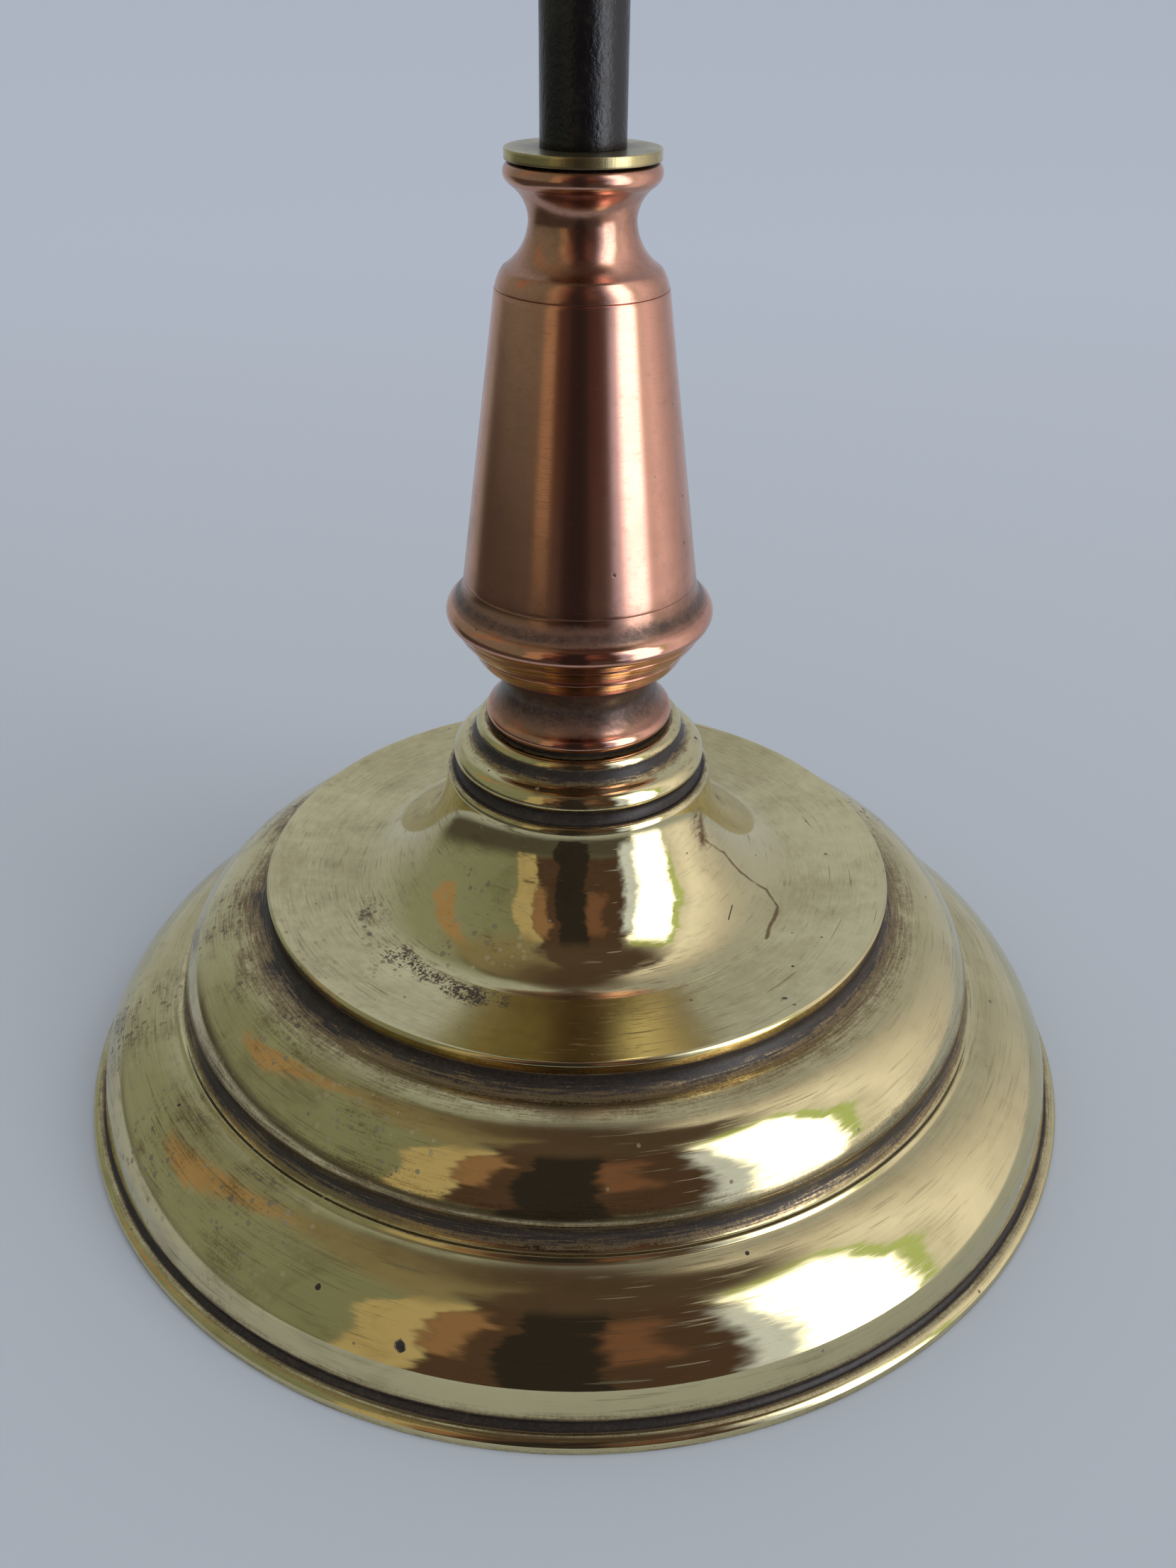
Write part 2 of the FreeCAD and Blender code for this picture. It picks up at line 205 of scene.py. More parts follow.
# Distance from a point, or from the stretch between two points, in metres
def awayFrom(tree, place, start, end=None):
    start = Vector(start) * mm
    offset = vary(tree, "SUBTRACT", place, start).outputs[0]
    if end is not None:
        run = Vector(end) * mm - start
        share = capped(tree, vary(tree, "DOT_PRODUCT", offset, run / run.length_squared).outputs[1])
        nearest = put(tree, "ShaderNodeVectorMath", {0: run, "Scale": share}, operation="SCALE").outputs[0]
        offset = vary(tree, "SUBTRACT", offset, nearest).outputs[0]
    return vary(tree, "LENGTH", offset).outputs[1]


# Round marks, each a place and a reach
def spots(tree, place, listed):
    marks = []
    for *spot, reach in listed:
        marks.append(step(tree, awayFrom(tree, place, spot), reach * mm, reach * mm * 0.2))
    return most(tree, *marks)


def trail(tree, place, points, width):
    nearest = chain(tree, "MINIMUM", [awayFrom(tree, place, *pair) for pair in zip(points, points[1:])])
    return step(tree, nearest, width * mm, width * mm * 0.3)


# In the finishes a noise is its scale per metre, detail, roughness and twist, an edge is where a mark begins and
# where it is full, then perhaps its least and greatest share, and a rag is the scale and reach of a ragged edge
brassFinish = {
    "polished": (0.75, 0.65, 0.36, 1),
    "dulled": (0.46, 0.38, 0.19, 1),
    "scored": (0.34, 0.285, 0.16, 1),
    # patina, which also paints the shade of the coves and joints
    "patinaAndShade": (0.018, 0.014, 0.012, 1),
    "crust": (0.042, 0.031, 0.023, 1),
    # stain, which also paints the shade at the edges of the coves and on the left
    "stainAndShade": (0.20, 0.12, 0.055, 1),
    "rust": (0.12, 0.05, 0.018, 1),
    "dust": (0.6, 0.58, 0.52, 1),
    "gloss": 0.03, "hazeGloss": 0.19, "smudgeGloss": 0.15, "patinaGloss": 0.4, "patinaMetal": 0.25,
    "bump": (0.4, 0.02),
    "fine": (2000.0, 3.0, 0.7), "coarse": (330.0, 5.0, 0.7), "cloud": (26.0, 5.0, 0.62, 0.5),
    "wipeLay": ((0.4, 0.3, 0.7), (26, 120, 70)), "wiped": (1.0, 5.0, 0.65, 0.9),
    "turningPitch": 330.0, "turning": (9.0, 2.0, 0.6),
    "streakPitch": 45.0, "streaks": (6.0, 5.0, 0.65),
    "layRadius": 70.0,
    "scratches": {"turns": (0.5, -0.7, 0.15, 1.2), "across": 1500.0, "length": 60.0, "low": 0.6, "high": 0.7},
    "cuts": {"turns": (0.8, -0.35, 2.1, -1.2, 0.05), "across": 1000.0, "length": 34.0, "low": 0.71, "high": 0.74},
    "pepper": (900.0, 0.6, 0.3), "specks": (420.0, 0.16, 0.12),  # scale, size and share of scattered marks
    "smallPits": (190.0, 0.08, 0.08), "dustSpecks": (130.0, 0.045, 0.12),
    "wavyRag": (220.0, 3.0), "cloudRag": (60.0, 14.0), "dripRag": (200.0, 1.4),
    "rubbedEdge": (0.4, 0.6), "tarnishEdge": (0.5, 0.85), "pitEdge": (0.25, 0.6), "crumbEdge": (0.58, 0.76),
    "patinaAndShadeEdge": (0.48, 0.88), "poolEdge": (0.6, 0.85), "stainAndShadeEdge": (0.12, 0.6, 0.0, 0.8),
    # weighting of smudges towards the left, which also paints the shade of that side
    "leftSmudgeAndShadeEdge": (0.02, -0.06, 0.45, 1.0), "smudgeEdge": (0.46, 0.72), "wipeEdge": (0.5, 0.75),
    "mottleEdge": (0.42, 0.72), "scuffEdge": (0.5, 0.72, 0.0, 0.4), "crustEdge": (0.42, 0.66),
    "pits": [(-39.4, -77.5, 15.4, 1.0), (-25.9, -85.7, 12.4, 1.6), (34.0, -41.5, 42.8, 1.1), (-47, -40, 36.4, 0.7)],
    "tarnish": [                        # place and reach of the brown clouds
        (-66, -10, 35.5, 16), (-60, 24, 37, 16), (-46, -42, 38, 16), (-55, -30, 38, 14),
        (-71, -48, 17, 22), (-84, -18, 16, 20), (-52, -66, 16, 16), (62, 28, 36, 12),
        (-33, -62, 33, 12), (-27, -67, 31, 10), (-21, -29, 44, 10), (-15, -28, 47, 9),
        (-19, -21, 51, 8), (-31, -30, 42, 10), (-37, -20, 42, 10),
    ],
    "drip": [(22.3, -12.6, 55.4), (26.6, -9.8, 50.6), (30.0, -10.8, 46.7), (34.7, -11.6, 43.5),
             (36.4, -15.2, 42.2), (33.5, -23.8, 41.9)],
    "dripWidth": 0.5,
    "dripPool": [(21.3, -12.2, 58.5, 3.4), (21.6, -12.4, 57.4, 3.2), (22.3, -12.6, 55.4, 2.6)],
    "nick": [(27.6, -19.0, 45.4), (26.7, -22.1, 44.6)], "nickWidth": 0.2,
    "creaseDirt": [(-31.6, -29.0, 41.9), (-26.0, -34.5, 42.0), (-20.7, -38.6, 42.0), (-13.2, -41.6, 42.0)],
    "creaseWidth": 3.0,
}


def makeBrass():
    finish = brassFinish
    material, tree, shader = newMaterial("polishedBrass")
    place = objectPlace(tree)
    grimeAndShade, haze = mark(tree, "grimeAndShade"), mark(tree, "haze")

    # grain, and the marks of lathe and cloth
    fine = noise(tree, place, *finish["fine"])
    coarse = noise(tree, place, *finish["coarse"])
    cloud = noise(tree, place, *finish["cloud"])
    wiped = noise(tree, stretched(tree, place, *finish["wipeLay"]), *finish["wiped"])
    turning = noise(tree, latheWay(tree, place, finish["turningPitch"]), *finish["turning"])
    streaks = noise(tree, latheWay(tree, place, finish["streakPitch"]), *finish["streaks"])
    flat = unrolled(tree, place, finish["layRadius"])
    rubbed = step(tree, weighted(tree, (cloud, 0.5), (wiped, 0.5)), *finish["rubbedEdge"])
    scratches = times(tree, hairlines(tree, flat, **finish["scratches"]), rubbed)
    cuts = hairlines(tree, flat, **finish["cuts"])

    # grime and painted shade in the grooves, brown clouds, pits and the run of brown
    wavy = ragged(tree, place, *finish["wavyRag"])
    clouds = spots(tree, ragged(tree, place, *finish["cloudRag"]), finish["tarnish"])
    tarnish = times(tree, clouds, step(tree, weighted(tree, (streaks, 0.7), (cloud, 0.6)), *finish["tarnishEdge"]))
    pepper = times(tree, clouds, scattered(tree, place, *finish["pepper"]))
    pepper = most(tree, pepper, scattered(tree, place, *finish["specks"]))
    pit = step(tree, spots(tree, wavy, finish["pits"]), *finish["pitEdge"])
    pit = most(tree, pit, scattered(tree, place, *finish["smallPits"]))
    crumbs = step(tree, weighted(tree, (coarse, 0.6), (fine, 0.7)), *finish["crumbEdge"])
    crease = times(tree, trail(tree, wavy, finish["creaseDirt"], finish["creaseWidth"]), crumbs)
    uneven = plus(tree, weighted(tree, (fine, 0.55), (coarse, 0.35), (turning, 0.75)), -0.825)
    dirtAndShade = weighted(tree, (grimeAndShade, 1.0), (tarnish, 0.42), (crease, 0.9), (uneven, 1.0))
    stainAndShade = step(tree, dirtAndShade, *finish["stainAndShadeEdge"])
    nick = trail(tree, place, finish["nick"], finish["nickWidth"])
    patinaAndShade = most(tree, step(tree, dirtAndShade, *finish["patinaAndShadeEdge"]), nick, pit, times(tree, pepper, 0.75))
    drip = trail(tree, ragged(tree, place, *finish["dripRag"]), finish["drip"], finish["dripWidth"])
    splash = step(tree, weighted(tree, (coarse, 1.0), (turning, 0.5)), *finish["poolEdge"])
    pool = times(tree, spots(tree, wavy, finish["dripPool"]), splash)
    rust = most(tree, times(tree, drip, 0.75), times(tree, pool, 0.9))

    # smudges and scuffs, more of them on the left, where they also paint shade: the left side is duller and darker
    leftSmudgeAndShade = step(tree, axes(tree, place)[0], *finish["leftSmudgeAndShadeEdge"])
    smear = times(tree, step(tree, wiped, *finish["wipeEdge"]), 0.8)
    smudgeAndShade = times(tree, leftSmudgeAndShade, most(tree, step(tree, cloud, *finish["smudgeEdge"]), smear))
    scuffAndShade = step(tree, weighted(tree, (streaks, 0.6), (wiped, 0.4)), *finish["scuffEdge"])
    scuffAndShade = times(tree, leftSmudgeAndShade, scuffAndShade)
    mottle = step(tree, weighted(tree, (cloud, 0.7), (turning, 0.2), (coarse, 0.3)), *finish["mottleEdge"])
    mottle = times(tree, haze, mottle)
    dust = scattered(tree, place, *finish["dustSpecks"])

    dull = most(tree, times(tree, smudgeAndShade, 0.45), times(tree, mottle, 0.75))
    metal = blendColour(tree, dull, finish["polished"], finish["dulled"])
    scored = capped(tree, weighted(tree, (scratches, 0.5), (cuts, 0.6)))
    metal = blendColour(tree, scored, metal, finish["scored"])
    metal = blendColour(tree, most(tree, stainAndShade, scuffAndShade), metal, finish["stainAndShade"])
    metal = blendColour(tree, rust, metal, finish["rust"])
    crusted = step(tree, weighted(tree, (fine, 0.6), (coarse, 0.4)), *finish["crustEdge"])
    soilAndShade = blendColour(tree, crusted, finish["patinaAndShade"], finish["crust"])
    colour = blendColour(tree, patinaAndShade, metal, soilAndShade)
    colour = blendColour(tree, times(tree, dust, 0.8), colour, finish["dust"])

    gloss = blendValue(tree, haze, finish["gloss"], finish["hazeGloss"])
    gloss = blendValue(tree, times(tree, smudgeAndShade, 0.6), gloss, finish["smudgeGloss"])
    gloss = weighted(tree, (gloss, 1.0), (scratches, 0.2), (cuts, 0.3), (stainAndShade, 0.15), (rust, 0.25), (turning, 0.02))
    rough = blendValue(tree, patinaAndShade, gloss, finish["patinaGloss"])
    relief = weighted(tree, (scratches, -0.12), (turning, 0.06), (times(tree, fine, patinaAndShade), 3.5), (pit, -10.0))
    normal = bumped(tree, relief, *finish["bump"])
    metallic = blendValue(tree, most(tree, patinaAndShade, dust), 1.0, finish["patinaMetal"])
    wire(tree, shader, {"Base Color": colour, "Metallic": metallic, "Roughness": rough, "Normal": normal})
    return material


copperFinish = {
    "rubbed": (0.68, 0.355, 0.255, 1),
    "browned": (0.37, 0.2, 0.14, 1),
    # patina, which also paints the shade of the hollows
    "patinaAndShade": (0.034, 0.02, 0.013, 1),
    "gloss": 0.1, "brownGloss": 0.08, "lineGloss": 0.06, "patinaGloss": 0.36, "patinaMetal": 0.35,
    "satinGloss": 0.18, "satin": (101, 170), "satinBlur": 2.0,  # heights of the satin stretch
    "bump": (0.4, 0.02),
    "fine": (2300.0, 3.0, 0.7), "coarse": (480.0, 4.0, 0.7), "cloud": (70.0, 4.0, 0.6, 0.6),
    "turningPitch": 420.0, "turning": (9.0, 4.0, 0.7),
    "strokeLay": ((0.5, 0.7, 0.3), (320, 1700, 800)), "strokes": (1.0, 3.0, 0.65),
    "layRadius": 18.0,
    "slanted": {"turns": (0.45, -0.3, 0.9, 0.1), "across": 4200.0, "length": 240.0, "low": 0.6, "high": 0.72},
    "smallPits": (360.0, 0.1, 0.1), "pitRag": (900.0, 0.5), "pitEdge": (0.3, 0.6), "patinaAndShadeEdge": (0.48, 0.98),
    "cloudEdge": (0.42, 0.78, 0.0, 0.5), "grainEdge": (0.5, 0.75, 0.0, 0.25), "dirtAndShadeEdge": (0.1, 0.6, 0.0, 0.85),
    "pits": [(5.3, -17.9, 107.9, 0.5), (16.7, -7.8, 109.4, 0.45), (16.9, -7.0, 108.6, 0.4),
             (16.5, -8.6, 110.3, 0.35), (16.2, -6.5, 116.7, 0.4), (16.1, -6.9, 118.0, 0.3),
             (-11.5, -11.8, 128.0, 0.3), (-13.6, -8.4, 137, 0.35)],
}


def makeCopper():
    finish = copperFinish
    material, tree, shader = newMaterial("brushedCopper")
    place = objectPlace(tree)
    fine = noise(tree, place, *finish["fine"])
    coarse = noise(tree, place, *finish["coarse"])
    cloud = noise(tree, place, *finish["cloud"])
    turning = noise(tree, latheWay(tree, place, finish["turningPitch"]), *finish["turning"])
    slanted = hairlines(tree, unrolled(tree, place, finish["layRadius"]), **finish["slanted"])
    strokes = noise(tree, stretched(tree, place, *finish["strokeLay"]), *finish["strokes"])
    uneven = plus(tree, weighted(tree, (fine, 0.6), (coarse, 0.5), (strokes, 0.6)), -0.85)
    # grime and painted shade of the hollows, with some grain
    dirtAndShade = weighted(tree, (mark(tree, "grimeAndShade"), 1.0), (uneven, 0.35))
    pit = spots(tree, ragged(tree, place, *finish["pitRag"]), finish["pits"])
    pit = most(tree, step(tree, pit, *finish["pitEdge"]), scattered(tree, place, *finish["smallPits"]))
    patinaAndShade = most(tree, step(tree, dirtAndShade, *finish["patinaAndShadeEdge"]), times(tree, pit, 0.85))
    # brown mottling, browner too round the painted shade and grime of the hollows
    brown = plus(tree, step(tree, cloud, *finish["cloudEdge"]), step(tree, coarse, *finish["grainEdge"]),
                 step(tree, dirtAndShade, *finish["dirtAndShadeEdge"]))
    brown = capped(tree, brown)
    metal = blendColour(tree, brown, finish["rubbed"], finish["browned"])
    metal = blendColour(tree, times(tree, slanted, 0.2), metal, finish["browned"])
    colour = blendColour(tree, patinaAndShade, metal, finish["patinaAndShade"])
    height = times(tree, axes(tree, place)[2], 1 / mm)
    satin = within(tree, height, finish["satin"], finish["satinBlur"])
    gloss = blendValue(tree, satin, finish["gloss"], finish["satinGloss"])
    gloss = weighted(tree, (gloss, 1.0), (brown, finish["brownGloss"]), (slanted, finish["lineGloss"]))
    rough = blendValue(tree, patinaAndShade, gloss, finish["patinaGloss"])
    relief = weighted(tree, (turning, 0.15), (slanted, -0.2), (times(tree, fine, patinaAndShade), 1.5), (pit, -8.0))
    normal = bumped(tree, relief, *finish["bump"])
    metallic = blendValue(tree, patinaAndShade, 1.0, finish["patinaMetal"])
    wire(tree, shader, {"Base Color": colour, "Metallic": metallic, "Roughness": rough, "Normal": normal})
    return material


washerFinish = {
    "edge": (0.6, 0.5, 0.24, 1), "dull": (0.22, 0.185, 0.13, 1), "gloss": 0.24, "dullGloss": 0.4, "bump": (0.5, 0.06),
    "cloud": (220.0, 5.0, 0.68), "cloudWeight": 1.3,
    "sawLay": ((0, 0, 0), (900, 900, 60)), "sawn": (1.0, 3.0, 0.65),
    "swirlPitch": 800.0, "swirl": (4.0, 3.0, 0.7),
}


def makeWasherBrass():
    finish = washerFinish
    material, tree, shader = newMaterial("washerBrass")
    place = objectPlace(tree)
    cloud = noise(tree, place, *finish["cloud"])
    sawn = noise(tree, stretched(tree, place, *finish["sawLay"]), *finish["sawn"])
    swirl = noise(tree, latheWay(tree, place, finish["swirlPitch"]), *finish["swirl"])
    clouded = times(tree, plus(tree, cloud, -0.5), finish["cloudWeight"])
    soiled = capped(tree, plus(tree, mark(tree, "grimeAndShade"), clouded))
    colour = blendColour(tree, soiled, finish["edge"], finish["dull"])
    rough = blendValue(tree, soiled, finish["gloss"], finish["dullGloss"])
    normal = bumped(tree, weighted(tree, (sawn, 1.0), (swirl, 0.6)), *finish["bump"])
    wire(tree, shader, {"Base Color": colour, "Metallic": 1.0, "Roughness": rough, "Normal": normal})
    return material


paintFinish = {
    "black": (0.004, 0.0035, 0.0035, 1), "worn": (0.02, 0.013, 0.01, 1), "speck": (0.25, 0.22, 0.18, 1),
    "wornEdge": (0.5, 0.75, 0.0, 0.7), "glossEdge": (0.35, 0.7, 0.24, 0.36), "bump": (0.6, 0.18),
    "lumpLay": ((0, 0, 0), (1, 1, 0.8)), "lumps": (1500.0, 3.0, 0.6, 0.3),
    "broadLay": ((0, 0, 0), (1, 1, 0.3)), "broad": (260.0, 2.0, 0.5),
    "patches": (170.0, 4.0, 0.65), "specks": (420.0, 0.12, 0.06),
}


def makeStemPaint():
    finish = paintFinish
    material, tree, shader = newMaterial("blackStemPaint")
    place = objectPlace(tree)
    lumps = noise(tree, stretched(tree, place, *finish["lumpLay"]), *finish["lumps"])
    broad = noise(tree, stretched(tree, place, *finish["broadLay"]), *finish["broad"])
    patches = noise(tree, place, *finish["patches"])
    specks = scattered(tree, place, *finish["specks"])
    colour = blendColour(tree, step(tree, patches, *finish["wornEdge"]), finish["black"], finish["worn"])
    colour = blendColour(tree, times(tree, specks, 0.6), colour, finish["speck"])
    rough = step(tree, patches, *finish["glossEdge"])
    normal = bumped(tree, weighted(tree, (lumps, 1.0), (broad, 0.6)), *finish["bump"])
    wire(tree, shader, {"Base Color": colour, "Metallic": 0.0, "Roughness": rough, "Specular IOR Level": 0.5,
                        "Normal": normal})
    return material


# Plain finishes of the pieces that are hidden in use: light and dark colour, metal, gloss and grain per metre
hiddenFinish = {
    "machinedSteel": ((0.5, 0.5, 0.5, 1), (0.33, 0.33, 0.34, 1), 1.0, 0.35, 900.0),
    "coverSheet": ((0.42, 0.42, 0.43, 1), (0.26, 0.25, 0.25, 1), 1.0, 0.45, 220.0),
    "roughIron": ((0.13, 0.13, 0.135, 1), (0.06, 0.055, 0.055, 1), 0.6, 0.7, 420.0),
    "bushBrass": ((0.6, 0.47, 0.24, 1), (0.4, 0.29, 0.14, 1), 1.0, 0.32, 700.0),
    "oiledLeather": ((0.03, 0.022, 0.018, 1), (0.008, 0.006, 0.005, 1), 0.0, 0.75, 900.0),
}
hiddenMottle = {"broader": 12, "edge": (0.35, 0.65), "dullEdge": (0.3, 0.7), "duller": 0.15, "bump": (0.4, 0.06)}


def makeHidden(name):
    light, dark, metal, gloss, grain = hiddenFinish[name]
    material, tree, shader = newMaterial(name)
    place = objectPlace(tree)
    mottle = noise(tree, place, grain, 4.0, 0.65)
    broad = noise(tree, place, grain / hiddenMottle["broader"], 3.0, 0.6)
    share = step(tree, weighted(tree, (mottle, 0.6), (broad, 0.4)), *hiddenMottle["edge"])
    colour = blendColour(tree, share, dark, light)
    rough = step(tree, broad, *hiddenMottle["dullEdge"], gloss, gloss + hiddenMottle["duller"])
    normal = bumped(tree, mottle, *hiddenMottle["bump"])
    wire(tree, shader, {"Base Color": colour, "Metallic": metal, "Roughness": rough, "Normal": normal})
    return material


baizeFinish = {
    "nap": (0.035, 0.085, 0.05, 1), "shade": (0.012, 0.035, 0.02, 1), "gloss": 0.95, "sheen": 0.3,
    "fibre": (1400.0, 5.0, 0.75, 1.5), "rubbed": (60.0, 3.0, 0.6), "napEdge": (0.35, 0.65), "bump": (0.8, 0.2),
}


def makeBaize():
    finish = baizeFinish
    material, tree, shader = newMaterial("greenBaize")
    place = objectPlace(tree)
    fibre = noise(tree, place, *finish["fibre"])
    rubbed = noise(tree, place, *finish["rubbed"])
    share = step(tree, weighted(tree, (fibre, 0.75), (rubbed, 0.25)), *finish["napEdge"])
    colour = blendColour(tree, share, finish["shade"], finish["nap"])
    normal = bumped(tree, fibre, *finish["bump"])
    wire(tree, shader, {"Base Color": colour, "Roughness": finish["gloss"], "Sheen Weight": finish["sheen"],
                        "Normal": normal})
    return material


materials = {
    "brass": makeBrass(), "copper": makeCopper(), "washer": makeWasherBrass(), "paint": makeStemPaint(),
    "baize": makeBaize(),
}
for hiddenName in hiddenFinish:
    materials[hiddenName] = makeHidden(hiddenName)
print("materials made:", len(materials))


def meshObject(name, bm, material):
    mesh = bpy.data.meshes.new(name)
    bm.to_mesh(mesh)
    bm.free()
    mesh.materials.append(material)
    made = bpy.data.objects.new(name, mesh)
    bpy.context.collection.objects.link(made)
    return made


def standFor(made, piece):
    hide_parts(piece["node"])
    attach(made, piece["body"])


# Turned pieces. A corner is (radius, height, bow, grime and shade): the stretch that ends there bows to the right of
# the way round, and its grime and painted shade, from 0, rubbed bright, to 1, black, is one value or several in turn
# along it. The dark values in coves, grooves and hollows and where pieces meet are painted shade as well as grime.
# None marks a hidden stretch.

def stretchPoints(start, corner, spacing):
    chord = Vector((corner[0] - start[0], corner[1] - start[1]))
    length = chord.length
    count = max(1, round(length / spacing))
    ahead = chord / length
    right = Vector((ahead.y, -ahead.x))
    middle = (Vector(start[:2]) + Vector(corner[:2])) / 2
    half = 2 * math.atan2(2 * corner[2], length)
    points = []
    for index in range(1, count + 1):
        share = index / count
        if corner[2] == 0:
            points.append(Vector(start[:2]) + chord * share)
            continue
        radius = length / (2 * math.sin(half))
        angle = half * (2 * share - 1)
        drop = radius * (1 - math.cos(angle))
        points.append(middle + ahead * radius * math.sin(angle) + right * (corner[2] - drop))
    return points


sharpFrom = math.radians(24)  # edges that turn more than this are rounded


def turnedPiece(name, piece):
    bm = bmesh.new()
    samples, before = [], piece["outline"][-1]
    for corner in piece["outline"]:
        soilAndShade = np.atleast_1d(0.0 if corner[3] is None else corner[3])
        points = stretchPoints(before, corner, piece["hiddenSpacing" if corner[3] is None else "spacing"])
        for index, point in enumerate(points):
            share = (index + 1) / len(points)
            samples.append((point.x, point.y, np.interp(share, np.linspace(0, 1, len(soilAndShade)), soilAndShade)))
        before = corner
    ring = [bm.verts.new((sample[0] * mm, 0, sample[1] * mm)) for sample in samples]
    for index, vert in enumerate(ring):
        bm.edges.new((vert, ring[(index + 1) % len(ring)]))
    bmesh.ops.spin(bm, geom=bm.verts[:] + bm.edges[:], cent=(0, 0, 0), axis=(0, 0, 1), angle=2 * math.pi,
                   steps=piece["turns"], use_merge=True)
    bmesh.ops.remove_doubles(bm, verts=bm.verts[:], dist=1e-7)
    bmesh.ops.recalc_face_normals(bm, faces=bm.faces[:])
    sharp = [edge for edge in bm.edges if edge.is_manifold and edge.calc_face_angle() > sharpFrom]
    bmesh.ops.bevel(bm, geom=sharp, offset=piece["edge"] * mm, segments=2, affect="EDGES", profile=0.5, material=-1)
    for face in bm.faces:
        face.smooth = True
    made = meshObject(name, bm, materials[piece["finish"]])
    markOutline(made.data, np.array(samples))
    standFor(made, piece)
    print("turned", name, len(made.data.polygons), "faces")


# Each vertex takes from the nearest place on the outline: grime and painted shade, haze on level stretches, and the
# way along.
# Blurs are in millimetres, and a stretch counts as level from one share of run to length up to another.
outlineMarks = {"grimeAndShadeBlur": 0.3, "hazeBlur": 1.5, "levelFrom": 0.85, "levelRange": 0.14, "batch": 4000}


def markOutline(mesh, samples):
    runs = np.diff(samples[:, :2], axis=0, append=samples[:1, :2])
    lengths = np.linalg.norm(runs, axis=1)
    along = np.concatenate([[0.0], np.cumsum(lengths)[:-1]])
    apart = along[:, None] - along[None, :]
    weight = np.exp(-(apart / outlineMarks["grimeAndShadeBlur"]) ** 2)
    grimeAndShade = weight @ samples[:, 2] / weight.sum(1)
    flatness = np.abs(runs[:, 0]) / np.maximum(lengths, 1e-9)
    level = np.clip((flatness - outlineMarks["levelFrom"]) / outlineMarks["levelRange"], 0, 1)
    weight = np.exp(-(apart / outlineMarks["hazeBlur"]) ** 2)
    haze = weight @ level / weight.sum(1)
    places = np.empty(len(mesh.vertices) * 3)
    mesh.vertices.foreach_get("co", places)
    places = places.reshape(-1, 3)
    flat = np.stack([np.hypot(places[:, 0], places[:, 1]), places[:, 2]], 1)
    nearest = np.empty(len(flat), int)
    batch = outlineMarks["batch"]
    for start in range(0, len(flat), batch):
        part = flat[start:start + batch]
        nearest[start:start + batch] = np.argmin(((part[:, None] - samples[None, :, :2] * mm) ** 2).sum(2), 1)
    for key, values in (("grimeAndShade", grimeAndShade), ("haze", haze), ("along", along * mm)):
        mesh.attributes.new(key, "FLOAT", "POINT").data.foreach_set("value", values[nearest].astype(np.float32))


baseShell = {
    "node": "base_shell", "body": "stand", "slot": "base_brass", "finish": "brass",
    "turns": 180, "spacing": 0.55, "hiddenSpacing": 12, "edge": 0.16,
    "outline": [
        (95.0, 0, 0, 0.35),
        (95.0, 1.5, 0, (0.3, 0.12)),
        (93.3, 2.4, 0.25, (0.08, 0.12, 0.4)),                       # flange round the foot
        (92.4, 4.2, -0.9, (0.8, 1.1, 1.1, 0.9)),                    # black groove, painted shade and grime
        (91.4, 9.5, 0, (0.55, 0.25, 0.08, 0.03, 0.03, 0.05)),       # band
        (77.1, 20.8, 2.0, (0.05, 0.02, 0.02, 0.02, 0.03, 0.06)),    # lower ring
        (75.9, 21.2, 0.45, (0.08, 0.2)),                            # ridge
        (74.6, 25.8, -0.9, (0.4, 0.72, 0.9, 0.85, 0.6)),            # cove, darkened with painted shade and grime
        (60.5, 37.4, 3.0, (0.5, 0.25, 0.1, 0.03, 0.02, 0.02, 0.04, 0.12, 0.28, 0.5)),  # cushion
        (57.8, 40.7, -1.1, (0.5, 0.75, 0.95, 1.05)),                # cove under the platter rim, darkened with painted shade and grime
        (58.07, 43.0, 0, (0.75, 0.25, 0.08)),
        (57.62, 43.45, 0.12, 0.0),
        (45.0, 41.95, -0.3, (0.0, 0.03, 0.04, 0.03)),               # platter
        (41.02, 41.92, -0.05, (0.03, 0.05, 0.12)),
        (35.07, 41.75, 0, None),
        (35.07, 39.25, 0, None),
        (55.3, 39.25, 0, None),
        (58.0, 34.9, 0, None),
        (72.1, 23.3, -3.0, None),
        (74.6, 18.3, 0, None),
        (88.2, 8.25, -2.0, None),
        (88.2, 3.0, 0, None),
        (90.2, 3.0, 0, None),
        (90.2, 0, 0, None),
    ],
}
baseBell = {
    "node": "base_bell", "body": "stand", "slot": "base_brass", "finish": "brass",
    "turns": 160, "spacing": 0.5, "hiddenSpacing": 8, "edge": 0.08,
    "outline": [
        (32.52, 39.75, 0, None),
        (35.02, 39.75, 0, None),
        (35.02, 41.78, 0, None),
        (41.0, 41.93, 0, None),
        (38.6, 42.55, -0.09, (0.12, 0.04)),                         # toe that runs out on the platter
        (23.78, 63.55, -3.75, (0.03, 0.02, 0.02, 0.02, 0.02, 0.03, 0.06)),  # trumpet flare
        (23.22, 64.25, 0.15, (0.1, 0.4)),
        # top where the collar sits, painted black with shade and grime
        (14.05, 64.25, 0, 1.0),
        (14.05, 61.25, 0, None),
        (21.28, 61.25, 0, None),
        (32.52, 41.75, 2.7, None),
    ],
}
